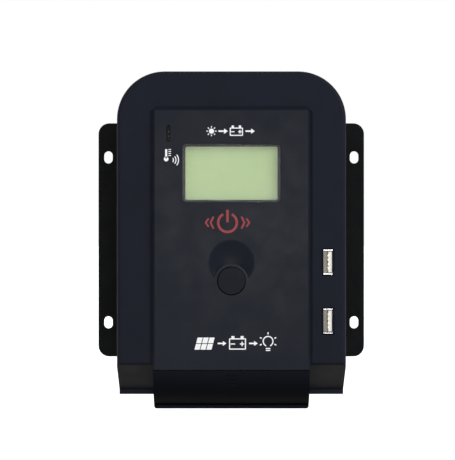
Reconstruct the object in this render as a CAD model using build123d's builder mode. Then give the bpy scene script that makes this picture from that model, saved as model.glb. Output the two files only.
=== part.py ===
from build123d import *

import os
from math import cos, hypot, radians, sin, tan

# A wall-hung charge controller, in millimetres.  The origin is the middle of the mounting
# plate's rear face, +Z is up, the wall is the plane y = 0 and the front faces -Y.  Every depth
# is a distance from the wall towards the front, so Plane.XZ.offset(depth) is a plane there.

os.makedirs("parts", exist_ok=True)

# ---- Case: a raised middle panel between two lower shoulders
panel_width = 83.0
panel_height = 139.8
panel_bottom = -68.6
panel_rise = 2.5
panel_corner_r = 2.6
panel_edge_bevel = 0.8
panel_top_bevel = 2.2
shoulder_width = 19.5
brow_height = 18.8
skirt_drop = 15.4
case_depth = 34.0
case_corner_r = 25.5
case_wall = 2.4
front_edge_r = 2.2
groove_width = 1.6
groove_depth = 0.8
slope_start = 2.8
rim_height = 2.6
rim_depth = 10.0

# ---- Mounting plate, wider than the case by a flange on each side
flange_width = 13.0
plate_height = 130.0
plate_thickness = 2.0
plate_corner_r = 6.0
slot_width = 4.8
slot_length = 6.8
slot_side_margin = 5.5
slot_end_margin = 19.0
plate_screw_margin = 15.0

# ---- Heat sink
fin_height = 10.0
fin_thickness = 1.5
fin_pitch = 5.0
fin_field = 81.5
fin_end_margin = 3.0
base_thickness = 4.0
base_fit = 0.3
rib_width = 7.0
rib_gap = 3.5

# ---- Screws, by radius
case_screw_r = 1.3
small_screw_r = 1.0
head_ratio = 2.0
head_height = 2.0
screw_clearance = 0.3
case_screw_side = 17.0
case_screw_top = 18.0
case_screw_foot = 8.0
screw_grip = 9.0
small_screw_grip = 5.0
usb_screw_grip = 8.0
pilot_end = 1.0
boss_wall = 2.3

# ---- Boards and what lies between the heat sink and the main board
board_thickness = 1.6
sheet_thickness = 0.3
transistor_thickness = 4.5
transistor_gap = 1.2
board_margin = 4.0
board_top_gap = 5.0
board_foot_gap = 3.0
standoff_side = 10.5
upper_standoff_z = 50.0
lower_standoff_z = -57.0
display_boss_gap = 1.8
board_edge = 4.0
display_board_drop = 8.0
display_board_head = 7.2
display_board_foot = 7.6
boss_rise = 4.5
link_gap = 5.0

# ---- Display
window_width = 52.0
window_height = 30.8
window_from_top = 35.5
window_corner_r = 2.1
pane_overlap = 2.5
pane_thickness = 0.8
view_width = 49.0
view_height = 28.3
frame_lip = 1.0
frame_wall = 1.6
glass_width = 55.0
glass_height = 34.0
glass_thickness = 2.0
strip_width = 2.4
part_gap = 0.3

# ---- Button in its finger dish
button_up = 47.1
button_r = 7.4
button_gap = 0.3
button_travel = 0.8
button_proud = 0.6
button_wall = 1.5
flange_thickness = 1.0
collar_width = 1.4
dish_up = 56.6
dish_r = 11.7
dish_depth = 2.0
dish_blend_r = 5.0
switch_width = 6.0
plunger_r = 1.75
plunger_stop = 0.6

# ---- Sensor slot and its socket
sensor_x = -33.4
sensor_from_top = 14.6
sensor_slot_width = 2.1
sensor_slot_length = 9.0
socket_wall = 1.4
pin_size = 0.64

# ---- USB sockets, upright in the right shoulder
usb_upper_up = 57.1
usb_spacing = 31.4
usb_open_width = 5.12
usb_open_height = 12.5
usb_metal = 0.3
usb_flare = 0.5
usb_length = 14.0
usb_hole_gap = 0.2
tongue_thickness = 1.84
tongue_height = 11.1
tongue_offset = 1.1
tongue_setback = 0.9
usb_board_width = 11.5
usb_boss_offset = 15.5

# ---- Terminal block
poles = 6
block_side_room = 3.0
block_end_wall = 1.0
cell_wall = 1.6
block_height = 18.0
block_above = 6.6
block_skin = 1.5
block_floor = 1.2
cage_gap = 0.3
cage_wall = 1.1
wire_space = 4.8
cage_height = 10.0
bar_thickness = 1.0
bar_side_gap = 0.3
nut_wall = 1.8
nut_gap = 0.2
terminal_thread_r = 2.0
thread_fit = 0.05
terminal_head_r = 3.4
terminal_head_height = 2.6
terminal_turns = 4
thread_lead = 0.7
screw_shoulder = 1.0
head_recess = 0.6
screw_head_room = 0.5

# ---- Terminal cover, sliding down over the block
cover_gap = 0.4
cover_height = 21.3
cover_wall = 2.0
cover_turn = 65.0
cheek_wall = 2.2
lip_height = 1.8
lip_out = 1.0
slide_fit = 0.3
rail_width = 2.0
rail_height = 0.9
rail_inset = 2.5
notch_width = 7.0
ridge_count = 4
ridge_r = 0.45
ridge_width = 4.6
ridge_pitch = 1.95
ridge_start = 2.35

# ---- Larger components
vent_count = 8
vent_up = 73.6
vent_width = 2.2
vent_length = 16.0
vent_pitch = 6.0
choke_r = 13.0
choke_bore_r = 7.2
choke_height = 9.0
choke_turns = 16
choke_side = 9.0
wire_d = 1.4
capacitor_r = 6.25
capacitor_height = 17.0
transistor_count = 6
transistor_up = 84.8
transistor_pitch = 13.6
transistor_width = 10.2

# ---- Derived: the depths, from the wall to the front
base_back = plate_thickness + fin_height
base_front = base_back + base_thickness
shoulder_front = base_back + case_depth
shoulder_inside = shoulder_front - case_wall
panel_front = shoulder_front + panel_rise
panel_inside = panel_front - case_wall
rim_front = base_back + rim_depth
standoff_height = sheet_thickness + transistor_thickness + transistor_gap
board_back = base_front + standoff_height
board_front = board_back + board_thickness
bay_back = board_back - cover_gap
display_board_front = panel_inside - display_board_drop
display_board_back = display_board_front - board_thickness
usb_board_front = shoulder_front - usb_length
usb_board_back = usb_board_front - board_thickness

# ---- Derived: the outline
case_width = panel_width + 2 * shoulder_width
case_bottom = panel_bottom - skirt_drop
panel_top = panel_bottom + panel_height
case_top = panel_top + brow_height
plate_width = case_width + 2 * flange_width
slope_top = panel_bottom + slope_start
rim_top = case_bottom + rim_height
slope_rate = (slope_top - rim_top) / (shoulder_front - rim_front)
bay_half = panel_width / 2 + slide_fit
shoulder_x = (bay_half + case_width / 2) / 2
window_z = panel_top - window_from_top
button_z = panel_bottom + button_up
dish_z = panel_bottom + dish_up
sensor_z = panel_top - sensor_from_top

# ---- Derived: fastener places, each an (x, z) pair
boss_r = case_screw_r + boss_wall
small_boss_r = small_screw_r + boss_wall - 0.5
case_screw_places = [
    (side * x, z)
    for side in (-1, 1)
    for x, z in (
        (case_width / 2 - case_screw_side, case_top - case_screw_top),
        (shoulder_x, case_bottom + case_screw_foot),
    )
]
rib_x = fin_field / 2 + rib_gap + rib_width / 2
plate_screw_places = [
    (side * rib_x, end * (plate_height / 2 - plate_screw_margin))
    for side in (-1, 1)
    for end in (-1, 1)
]
slot_x = plate_width / 2 - slot_side_margin
slot_z = plate_height / 2 - slot_end_margin


def write(piece, name):
    """Label a finished piece and write it under its own name."""
    piece.label = name
    export_step(piece, f"parts/{name}.step")


def case_outline(inset):
    """The case seen from the front, drawn in by `inset` all round."""
    top = case_top - inset
    bottom = case_bottom + inset
    with BuildSketch() as outline:
        with Locations((0, (top + bottom) / 2)):
            Rectangle(case_width - 2 * inset, top - bottom)
        fillet(outline.vertices().group_by(Axis.Y)[-1], radius=case_corner_r - inset)
    return outline.sketch


def slope_z(depth, inset):
    """Height of the sloping lower face at a depth, drawn in by `inset`."""
    return rim_top + (depth - rim_front) * slope_rate + inset * hypot(1, slope_rate)


def case_form(inset):
    """The closed form of the shoulders, with the slope and the rim at the lower end."""
    beyond = shoulder_front + case_depth
    under = case_bottom - skirt_drop
    rim = rim_front - inset
    with BuildPart() as form:
        with BuildSketch(Plane.XZ.offset(base_back)):
            add(case_outline(inset))
        extrude(amount=case_depth - inset)
        with BuildSketch(Plane.YZ):
            Polygon(
                (-rim, under),
                (-rim, slope_z(rim, inset)),
                (-beyond, slope_z(beyond, inset)),
                (-beyond, under),
                align=None,
            )
        extrude(amount=case_width, both=True, mode=Mode.SUBTRACT)
    return form.part


def rounded_block(places, width, height, corner_r, back, front):
    """Upright blocks between two depths, rounded in the front view."""
    with BuildPart() as block:
        with BuildSketch(Plane.XZ.offset(back)):
            with Locations(*places):
                RectangleRounded(width, height, corner_r)
        extrude(amount=front - back)
    return block.part


def blocks(places, width, height, back, front):
    """Square-edged blocks between two depths."""
    with BuildPart() as block:
        with BuildSketch(Plane.XZ.offset(back)):
            with Locations(*places):
                Rectangle(width, height)
        extrude(amount=front - back)
    return block.part


def rods(places, radius, back, front):
    """Round rods between two depths."""
    with BuildPart() as rod:
        with BuildSketch(Plane.XZ.offset(back)):
            with Locations(*places):
                Circle(radius)
        extrude(amount=front - back)
    return rod.part


def pan_screws(places, seat, length, thread_r, facing):
    """Cross-recessed screws: the head seats at depth `seat` and faces the front (1) or wall (-1)."""
    head_r = thread_r * head_ratio
    recess = head_r * 1.1
    with BuildPart() as screws:
        with BuildSketch(Plane.XZ.offset(seat)):
            with Locations(*places):
                Circle(head_r)
        extrude(amount=facing * head_height)
        crown = screws.edges().filter_by(GeomType.CIRCLE)
        top = -(seat + facing * head_height)
        fillet([e for e in crown if abs(e.center().Y - top) < 0.01], radius=head_height * 0.35)
        with BuildSketch(Plane.XZ.offset(seat)):
            with Locations(*places):
                Circle(thread_r)
        extrude(amount=-facing * length)
        with BuildSketch(Plane.XZ.offset(seat + facing * head_height)):
            with Locations(*places):
                Rectangle(recess, recess / 4)
                Rectangle(recess / 4, recess)
        extrude(amount=-facing * head_height * 0.6, mode=Mode.SUBTRACT)
    return screws.part


# ---- Mounting plate: sheet steel with a slot near each corner
with BuildPart() as mounting_plate:
    with BuildSketch(Plane.XZ):
        RectangleRounded(plate_width, plate_height, plate_corner_r)
        with Locations(*[(x, z) for x in (-slot_x, slot_x) for z in (-slot_z, slot_z)]):
            SlotOverall(slot_length, slot_width, rotation=90, mode=Mode.SUBTRACT)
    extrude(amount=plate_thickness)
    rear_faces = [Plane((x, 0, z), x_dir=(1, 0, 0), z_dir=(0, 1, 0)) for x, z in plate_screw_places]
    with Locations(*rear_faces):
        CounterSinkHole(case_screw_r + screw_clearance, case_screw_r * head_ratio)
write(mounting_plate.part, "mounting_plate")

# ---- Heat sink: a base that closes the case's back, fins and two thick ribs for the plate
sink_inset = case_wall + base_fit
fin_count = int(fin_field / fin_pitch) + 1
fin_length = case_top - case_bottom - 2 * (sink_inset + fin_end_margin)
fin_z = (case_top + case_bottom) / 2
transistor_z = panel_bottom + transistor_up
transistor_xs = [
    (i - (transistor_count - 1) / 2) * transistor_pitch for i in range(transistor_count)
]
tab_screw_places = [(x, transistor_z) for x in transistor_xs]
standoff_places = [
    (side * (case_width / 2 - standoff_side), z)
    for side in (-1, 1)
    for z in (upper_standoff_z, lower_standoff_z)
]
with BuildPart() as heat_sink:
    with BuildSketch(Plane.XZ.offset(base_back)):
        add(case_outline(sink_inset))
    extrude(amount=base_thickness)
    with BuildSketch(Plane.XZ.offset(plate_thickness)):
        with Locations((0, fin_z)):
            with GridLocations(fin_pitch, fin_length, fin_count, 1):
                Rectangle(fin_thickness, fin_length)
        with Locations((-rib_x, 0), (rib_x, 0)):
            Rectangle(rib_width, plate_height - plate_screw_margin)
    extrude(amount=fin_height)
    add(rods(case_screw_places, case_screw_r + screw_clearance, base_back, base_front),
        mode=Mode.SUBTRACT)
    add(rods(plate_screw_places, case_screw_r, plate_thickness, base_back), mode=Mode.SUBTRACT)
    add(rods(tab_screw_places + standoff_places, case_screw_r, base_back + pilot_end, base_front),
        mode=Mode.SUBTRACT)
write(heat_sink.part, "heat_sink")

# ---- Countersunk screws of the mounting plate
plate_screw_end = base_back - pilot_end
with BuildPart() as plate_screw:
    with BuildSketch(Plane.YZ):
        Polygon(
            (0, 0),
            (0, case_screw_r * head_ratio),
            (-case_screw_r * (head_ratio - 1), case_screw_r),
            (-plate_screw_end, case_screw_r),
            (-plate_screw_end, 0),
            align=None,
        )
    revolve(axis=Axis.Y)
    with BuildSketch(Plane.XZ):
        Rectangle(case_screw_r * 2.2, case_screw_r * 0.55)
        Rectangle(case_screw_r * 0.55, case_screw_r * 2.2)
    extrude(amount=case_screw_r * 0.8, mode=Mode.SUBTRACT)
with BuildPart() as plate_screws:
    with Locations(*[(x, 0, z) for x, z in plate_screw_places]):
        add(plate_screw.part)
write(plate_screws.part, "plate_screws")

# ---- Case screws, driven from the back through the heat sink into the front cover's bosses
case_screw_length = base_thickness + screw_grip
write(pan_screws(case_screw_places, base_back, case_screw_length, case_screw_r, -1),
      "case_screws")

# ---- Terminal block depths, from the main board to its front
floor_front = board_front + block_floor
cage_back = floor_front + cage_gap
cage_inside = cage_back + cage_wall
bar_back = cage_inside + wire_space
bar_front = bar_back + bar_thickness
nut_back = bar_front + nut_gap
nut_front = nut_back + nut_wall
cage_travel = terminal_turns * thread_lead
shoulder_back = nut_front + cage_travel + cage_gap
head_seat = shoulder_back + screw_shoulder
head_back = head_seat + part_gap / 3
block_front = head_back + terminal_head_height + head_recess
block_width = panel_width - 2 * block_side_room
pole_pitch = (block_width - 2 * block_end_wall) / poles
block_top = panel_bottom + block_above
block_bottom = block_top - block_height
cell_width = pole_pitch - cell_wall
cage_width = cell_width - 2 * cage_gap
wire_width = cage_width - 2 * cage_wall
screw_z = panel_bottom - terminal_head_r - screw_head_room
pole_xs = [(i - (poles - 1) / 2) * pole_pitch for i in range(poles)]
cell_bottom = block_bottom + block_skin
cell_top = block_top - block_skin
leg_z = block_top - block_skin - bar_thickness - part_gap
bar_width = wire_width - 2 * bar_side_gap
leg_width = bar_width * 0.7
wire_depth = (cage_inside + bar_back) / 2

# ---- Front cover: the shoulders, the panel and the bay that the terminal cover closes
outer_form = case_form(0)
inner_form = case_form(case_wall)
surround_half = bay_half + case_wall
surround_top = panel_bottom + case_wall
usb_x = shoulder_x
usb_zs = [panel_bottom + usb_upper_up, panel_bottom + usb_upper_up - usb_spacing]
usb_places = [(usb_x, z) for z in usb_zs]
usb_middle_z = sum(usb_zs) / 2
usb_boss_places = [
    (usb_x, usb_zs[0] + usb_boss_offset),
    (usb_x, usb_zs[1] - usb_boss_offset),
]
display_board_top = panel_top - display_board_head
display_board_bottom = button_z - display_board_foot
display_boss_x = glass_width / 2 + part_gap + frame_wall + display_boss_gap + small_boss_r
display_board_width = 2 * (display_boss_x + board_edge)
display_boss_places = [
    (side * display_boss_x, z)
    for side in (-1, 1)
    for z in (display_board_bottom + boss_rise, window_z + boss_rise)
]
pad_inside = panel_front - dish_depth - case_wall
vent_z = panel_bottom + vent_up
cover_back = bay_back + cover_gap
rail_back = cover_back + rail_inset
rail_top = panel_bottom - cover_gap - rail_height
button_hole_r = button_r + button_gap
dish_sphere_r = (dish_r**2 + dish_depth**2) / (2 * dish_depth)
usb_flare_width = usb_open_width + 2 * usb_metal + usb_flare
usb_flare_height = usb_open_height + 2 * usb_metal + 2 * usb_flare

with BuildPart() as bay_surround:
    add(outer_form)
    with BuildSketch(Plane.XZ.offset(bay_back - case_wall)):
        with Locations((0, case_bottom)):
            Rectangle(2 * surround_half, 2 * (surround_top - case_bottom))
    extrude(amount=case_depth, mode=Mode.INTERSECT)

with BuildPart() as case_bosses:
    add(rods(case_screw_places, boss_r, base_front, shoulder_front))
    add(outer_form, mode=Mode.INTERSECT)

with BuildPart() as panel:
    with BuildSketch(Plane.XZ.offset(shoulder_inside)) as panel_outline:
        with Locations((0, (panel_top + panel_bottom) / 2)):
            Rectangle(panel_width, panel_height)
        fillet(panel_outline.vertices().group_by(Axis.Y)[-1], radius=panel_corner_r)
    extrude(amount=panel_front - shoulder_inside)
    front_edges = panel.faces().sort_by(Axis.Y)[0].edges()
    chamfer(front_edges.sort_by(Axis.Z)[1:], length=panel_edge_bevel)
    with BuildSketch(Plane.YZ):
        Polygon(
            (-panel_front, panel_top - panel_top_bevel),
            (-panel_front, panel_top),
            (-panel_front + panel_top_bevel, panel_top),
            align=None,
        )
    extrude(amount=panel_width, both=True, mode=Mode.SUBTRACT)

with BuildPart() as front_cover:
    add(outer_form)
    fillet(front_cover.faces().sort_by(Axis.Y)[0].edges(), radius=front_edge_r)
    add(inner_form, mode=Mode.SUBTRACT)
    add(bay_surround.part)
    add(panel.part)
    add(blocks([(0, panel_bottom + case_wall / 2)], panel_width, case_wall, board_front,
               panel_front - panel_edge_bevel))
    # grooves beside the panel
    for side in (-1, 1):
        add(blocks([(side * (panel_width + groove_width) / 2, (panel_top + panel_bottom) / 2)],
                   groove_width, panel_height, shoulder_front - groove_depth, panel_front),
            mode=Mode.SUBTRACT)
    # the panel's hollow, the bay and the way through for the terminal block
    add(blocks([(0, (panel_top + panel_bottom) / 2)], panel_width - 2 * case_wall,
               panel_height - 2 * case_wall, shoulder_inside - case_wall, panel_inside),
        mode=Mode.SUBTRACT)
    add(blocks([(0, panel_bottom - skirt_drop)], 2 * bay_half, 2 * skirt_drop, bay_back,
               panel_front + case_wall), mode=Mode.SUBTRACT)
    add(blocks([(0, surround_top - case_wall)], block_width + 2 * slide_fit,
               2 * case_wall + part_gap, bay_back, block_front + cover_gap), mode=Mode.SUBTRACT)
    # pad behind the dish, the dish, then the collar and the hole for the button
    add(rods([(0, dish_z)], dish_r + case_wall, pad_inside, panel_inside))
    add(rods([(0, button_z)], button_hole_r + collar_width + case_wall, pad_inside, panel_inside))
    with Locations((0, -(panel_front - dish_depth + dish_sphere_r), dish_z)):
        Sphere(dish_sphere_r, mode=Mode.SUBTRACT)
    dish_edge = front_cover.edges().filter_by(
        lambda e: e.geom_type == GeomType.CIRCLE and abs(e.radius - dish_r) < 0.01
    )
    fillet(dish_edge, radius=dish_blend_r)
    add(rods([(0, button_z)], button_hole_r + collar_width, pad_inside, panel_front))
    add(rods([(0, button_z)], button_hole_r, pad_inside - case_wall, panel_front + case_wall),
        mode=Mode.SUBTRACT)
    # bosses for the case screws and for the two boards that hang from the cover
    add(case_bosses.part)
    add(rods(case_screw_places, case_screw_r, base_front, base_front + screw_grip + pilot_end / 2),
        mode=Mode.SUBTRACT)
    add(rods(display_boss_places, small_boss_r, display_board_front, panel_inside))
    add(rods(display_boss_places, small_screw_r, display_board_front, panel_inside - pilot_end),
        mode=Mode.SUBTRACT)
    add(rods(usb_boss_places, small_boss_r, usb_board_front, shoulder_inside))
    add(rods(usb_boss_places, small_screw_r, usb_board_front, shoulder_inside - pilot_end),
        mode=Mode.SUBTRACT)
    # window, sensor slot and the two USB holes
    add(rounded_block([(0, window_z)], window_width, window_height, window_corner_r,
                      shoulder_inside, panel_front), mode=Mode.SUBTRACT)
    with BuildSketch(Plane.XZ.offset(shoulder_inside)):
        with Locations((sensor_x, sensor_z)):
            SlotOverall(sensor_slot_length, sensor_slot_width, rotation=90)
    extrude(amount=case_depth, mode=Mode.SUBTRACT)
    add(rounded_block(usb_places, usb_flare_width + 2 * usb_hole_gap,
                      usb_flare_height + 2 * usb_hole_gap, usb_metal, usb_board_front,
                      panel_front), mode=Mode.SUBTRACT)
    # vents in both side walls
    for side in (-1, 1):
        with BuildSketch(Plane.YZ.offset(side * (case_width / 2 - case_wall - part_gap))):
            with Locations((-(base_front + shoulder_inside) / 2, vent_z)):
                with GridLocations(1, vent_pitch, 1, vent_count):
                    SlotOverall(vent_length, vent_width)
        extrude(amount=side * 2 * case_wall, mode=Mode.SUBTRACT)
    # rails on the bay's side walls
    for side in (-1, 1):
        add(blocks([(side * (bay_half - rail_height / 2), (case_bottom + rail_top) / 2)],
                   rail_height, rail_top - case_bottom, rail_back, rail_back + rail_width))
write(front_cover.part, "front_cover")

# ---- Terminal cover: a bowed front between two cheeks, a floor with a notch for each cable
cover_top = panel_bottom - cover_gap
cover_bottom = cover_top - cover_height
lip_top = cover_bottom + lip_height
floor_top = cover_bottom + cover_wall
turn = radians(cover_turn)
bow_r = (cover_height - lip_height) / sin(turn)
bow_centre = panel_front - bow_r
bow_end = bow_centre + bow_r * cos(turn)
inner_r = bow_r - cover_wall
inner_end = (bow_centre + inner_r * cos(turn), cover_top - inner_r * sin(turn))
floor_end = inner_end[0] - (inner_end[1] - floor_top) * tan(turn)


def bow_point(radius, angle):
    """A point of the bowed front in the side view, at an angle below the cover's top."""
    return (-(bow_centre + radius * cos(angle)), cover_top - radius * sin(angle))


with BuildPart() as terminal_cover:
    with BuildSketch(Plane.YZ):
        with BuildLine():
            ThreePointArc(bow_point(bow_r, 0), bow_point(bow_r, turn / 2), bow_point(bow_r, turn))
            Polyline(
                bow_point(bow_r, turn),
                (-(bow_end + lip_out), lip_top),
                (-(bow_end + lip_out), cover_bottom),
                (-cover_back, cover_bottom),
                (-cover_back, cover_top),
                bow_point(bow_r, 0),
            )
        make_face()
    extrude(amount=panel_width / 2, both=True)
    corners = terminal_cover.edges().filter_by(Axis.Y).group_by(Axis.Z)[0]
    fillet(corners, radius=cover_wall * 0.75)
    with BuildSketch(Plane.YZ):
        with BuildLine():
            ThreePointArc(
                bow_point(inner_r, 0), bow_point(inner_r, turn / 2), bow_point(inner_r, turn)
            )
            Polyline(
                bow_point(inner_r, turn),
                (-floor_end, floor_top),
                (0, floor_top),
                (0, cover_top),
                bow_point(inner_r, 0),
            )
        make_face()
    extrude(amount=panel_width / 2 - cheek_wall, both=True, mode=Mode.SUBTRACT)
    # grooves in the cheeks for the case's rails
    for side in (-1, 1):
        add(blocks([(side * (panel_width - rail_height) / 2, (cover_top + cover_bottom) / 2)],
                   rail_height + slide_fit, 2 * cover_height, rail_back - slide_fit,
                   rail_back + rail_width + slide_fit), mode=Mode.SUBTRACT)
    # cable notches, open at the back
    with BuildSketch(Plane.XY.offset(cover_bottom - part_gap)):
        with Locations(*[(x, -wire_depth) for x in pole_xs]):
            Circle(notch_width / 2)
        with Locations(*[(x, -(wire_depth + base_front) / 2) for x in pole_xs]):
            Rectangle(notch_width, wire_depth - base_front)
    extrude(amount=2 * cover_wall, mode=Mode.SUBTRACT)
    # grip ridges
    ridge_angles = [(ridge_start + i * ridge_pitch) / bow_r for i in range(ridge_count)]
    with BuildSketch(Plane.YZ):
        with Locations(*[bow_point(bow_r, angle) for angle in ridge_angles]):
            Circle(ridge_r)
    extrude(amount=ridge_width / 2, both=True)
write(terminal_cover.part, "terminal_cover")

# ---- Terminal block: a cell for each pole, open below for the wire and in front for the screw
block_z = (block_top + block_bottom) / 2
pole_places = [(x, screw_z) for x in pole_xs]
leg_places = [(x, leg_z) for x in pole_xs]
with BuildPart() as terminal_block:
    add(blocks([(0, block_z)], block_width, block_height, board_front, block_front))
    chamfer(terminal_block.faces().sort_by(Axis.Y)[0].edges(), length=part_gap * 2)
    add(blocks([(x, (cell_bottom + cell_top) / 2) for x in pole_xs], cell_width,
               cell_top - cell_bottom, floor_front, shoulder_back), mode=Mode.SUBTRACT)
    add(blocks([(x, block_bottom) for x in pole_xs], wire_width + cage_wall, 3 * block_skin,
               floor_front + cage_gap, bar_back + cage_travel / 2), mode=Mode.SUBTRACT)
    add(rods(pole_places, terminal_thread_r + cage_gap, shoulder_back - 1, block_front),
        mode=Mode.SUBTRACT)
    add(rods(pole_places, terminal_head_r + cage_gap, head_seat, block_front + 1),
        mode=Mode.SUBTRACT)
    add(blocks(leg_places, leg_width + 2 * slide_fit, bar_thickness + slide_fit,
               board_front, floor_front), mode=Mode.SUBTRACT)
write(terminal_block.part, "terminal_block")

# ---- Terminal bars: a flat tongue in each cell, with a leg back through the main board
with BuildPart() as terminal_bars:
    bar_bottom = cell_bottom + cage_gap
    add(blocks([(x, (bar_bottom + cell_top) / 2) for x in pole_xs], bar_width,
               cell_top - bar_bottom, bar_back, bar_front))
    add(blocks(leg_places, leg_width, bar_thickness, board_back - board_thickness, bar_front))
write(terminal_bars.part, "terminal_bars")


def terminal_screw(x):
    """One captive clamp screw, slotted and crossed."""
    head = terminal_head_r * 1.5
    with BuildPart() as screw:
        with BuildSketch(Plane.XZ.offset(head_back)):
            with Locations((x, screw_z)):
                Circle(terminal_head_r)
        extrude(amount=terminal_head_height)
        fillet(screw.faces().sort_by(Axis.Y)[0].edges(), radius=terminal_head_height * 0.2)
        with BuildSketch(Plane.XZ.offset(bar_front + nut_gap / 2)):
            with Locations((x, screw_z)):
                Circle(terminal_thread_r)
        extrude(amount=head_back - bar_front - nut_gap / 2)
        with BuildSketch(Plane.XZ.offset(head_back + terminal_head_height * 0.4)):
            with Locations((x, screw_z)):
                Rectangle(2 * terminal_head_r, head / 6)
                Rectangle(head / 6, head)
        extrude(amount=terminal_head_height, mode=Mode.SUBTRACT)
    return screw.part


def terminal_cage(x):
    """One rising cage: a square tube, its front wall threaded for the clamp screw."""
    place = [(x, screw_z)]
    with BuildPart() as cage:
        add(blocks(place, cage_width, cage_height, cage_back, nut_front))
        add(blocks(place, wire_width, 2 * cage_height, cage_inside, nut_back),
            mode=Mode.SUBTRACT)
        add(rods(place, terminal_thread_r + thread_fit, nut_back, nut_front),
            mode=Mode.SUBTRACT)
    return cage.part


for number, x in enumerate(pole_xs, start=1):
    write(terminal_screw(x), f"terminal_screw_{number}")
    write(terminal_cage(x), f"terminal_cage_{number}")

# ---- Button: cap with a retaining flange and a stem, on the push switch of the display board
button_places = [(0, button_z)]
flange_front = pad_inside - slide_fit
flange_back = flange_front - flange_thickness
plunger_out = button_travel + plunger_stop
cap_front = panel_front + button_proud
switch_front = flange_back - plunger_out
with BuildPart() as button_cap:
    add(rods(button_places, button_r, flange_back, cap_front))
    fillet(button_cap.faces().sort_by(Axis.Y)[0].edges(), radius=button_proud)
    add(rods(button_places, button_hole_r + flange_thickness, flange_back, flange_front))
    add(rods(button_places, button_r - button_wall, flange_back, cap_front - button_wall),
        mode=Mode.SUBTRACT)
    add(rods(button_places, plunger_r + button_wall / 2, flange_back, cap_front - button_wall))
write(button_cap.part, "button_cap")
write(rods(button_places, plunger_r, switch_front - plunger_out, flange_back), "switch_plunger")

with BuildPart() as push_switch:
    add(blocks(button_places, switch_width, switch_width, display_board_front, switch_front))
    add(rods(button_places, plunger_r + slide_fit, display_board_front + part_gap, switch_front),
        mode=Mode.SUBTRACT)
write(push_switch.part, "push_switch")

# ---- Display: pane, frame, glass, rubber contact strips and light guide
window_place = [(0, window_z)]
pane_back = panel_inside - pane_thickness
glass_front = pane_back - frame_lip
glass_back = glass_front - glass_thickness
frame_inner_width = glass_width + 2 * part_gap
frame_inner_height = glass_height + 2 * part_gap
strip_z = glass_height / 2 - strip_width / 2 - part_gap
guide_height = glass_height - 2 * (strip_width + 2 * part_gap)
write(rounded_block(window_place, window_width + 2 * pane_overlap,
                    window_height + 2 * pane_overlap, window_corner_r, pane_back, panel_inside),
      "display_window")

with BuildPart() as display_frame:
    add(blocks(window_place, frame_inner_width + 2 * frame_wall,
               frame_inner_height + 2 * frame_wall, display_board_front, pane_back))
    add(blocks(window_place, frame_inner_width, frame_inner_height, display_board_front,
               glass_front), mode=Mode.SUBTRACT)
    add(rounded_block(window_place, view_width, view_height, window_corner_r / 2, glass_front,
                      pane_back), mode=Mode.SUBTRACT)
write(display_frame.part, "display_frame")
write(blocks(window_place, glass_width, glass_height, glass_back, glass_front), "display_glass")
write(blocks(window_place, glass_width, guide_height, display_board_front, glass_back),
      "light_guide")
write(blocks([(0, window_z - strip_z), (0, window_z + strip_z)], view_width, strip_width,
             display_board_front, glass_back), "contact_strips")

# ---- Sensor socket behind its slot
sensor_place = [(sensor_x, sensor_z)]
socket_front = panel_inside - part_gap
socket_floor = display_board_front + socket_wall
pin_places = [(sensor_x, sensor_z - 1.27), (sensor_x, sensor_z + 1.27)]
with BuildPart() as sensor_socket:
    add(blocks(sensor_place, sensor_slot_width + 2 * socket_wall,
               sensor_slot_length + 2 * socket_wall, display_board_front, socket_front))
    add(blocks(sensor_place, sensor_slot_width, sensor_slot_length, socket_floor, socket_front),
        mode=Mode.SUBTRACT)
    add(blocks(pin_places, pin_size, pin_size, display_board_front, socket_floor),
        mode=Mode.SUBTRACT)
write(sensor_socket.part, "sensor_socket")
write(blocks(pin_places, pin_size, pin_size, display_board_back, socket_front - 2.0),
      "sensor_pins")

# ---- Display board, hung on the front cover's bosses
display_board_z = (display_board_top + display_board_bottom) / 2
display_board_height = display_board_top - display_board_bottom
link_pitch = 2.54
link_count = 8
link_z = window_z + glass_height / 2 + link_gap
link_places = [((i - (link_count - 1) / 2) * link_pitch, link_z) for i in range(link_count)]
with BuildPart() as display_board:
    add(blocks([(0, display_board_z)], display_board_width, display_board_height,
               display_board_back, display_board_front))
    add(rods(display_boss_places, small_screw_r + screw_clearance, display_board_back,
             display_board_front), mode=Mode.SUBTRACT)
    add(blocks(pin_places, pin_size, pin_size, display_board_back, display_board_front),
        mode=Mode.SUBTRACT)
write(display_board.part, "display_board")
display_screw_length = board_thickness + small_screw_grip
write(pan_screws(display_boss_places, display_board_back, display_screw_length, small_screw_r, -1),
      "display_board_screws")

# ---- Power transistors on their insulating sheet, legs bent forward into the main board
tab_height = 6.5
tab_thickness = 1.3
transistor_height = 9.0
lead_size = 0.7
lead_pitch = 2.54
tab_top = transistor_z + tab_height / 2
body_top = transistor_z - tab_height / 2
body_bottom = body_top - transistor_height
sheet_front = base_front + sheet_thickness
lead_back = sheet_front + transistor_thickness / 2
lead_drop = 3.0
lead_xs = [x + step * lead_pitch for x in transistor_xs for step in (-1, 0, 1)]
lead_places = [(x, body_bottom - lead_drop) for x in lead_xs]
sheet_width = transistor_count * transistor_pitch
sheet_height = tab_top - body_bottom + 2.0
with BuildPart() as insulating_sheet:
    add(blocks([(0, (tab_top + body_bottom) / 2)], sheet_width, sheet_height, base_front,
               sheet_front))
    add(rods(tab_screw_places, case_screw_r, base_front, sheet_front), mode=Mode.SUBTRACT)
write(insulating_sheet.part, "insulating_sheet")

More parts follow.
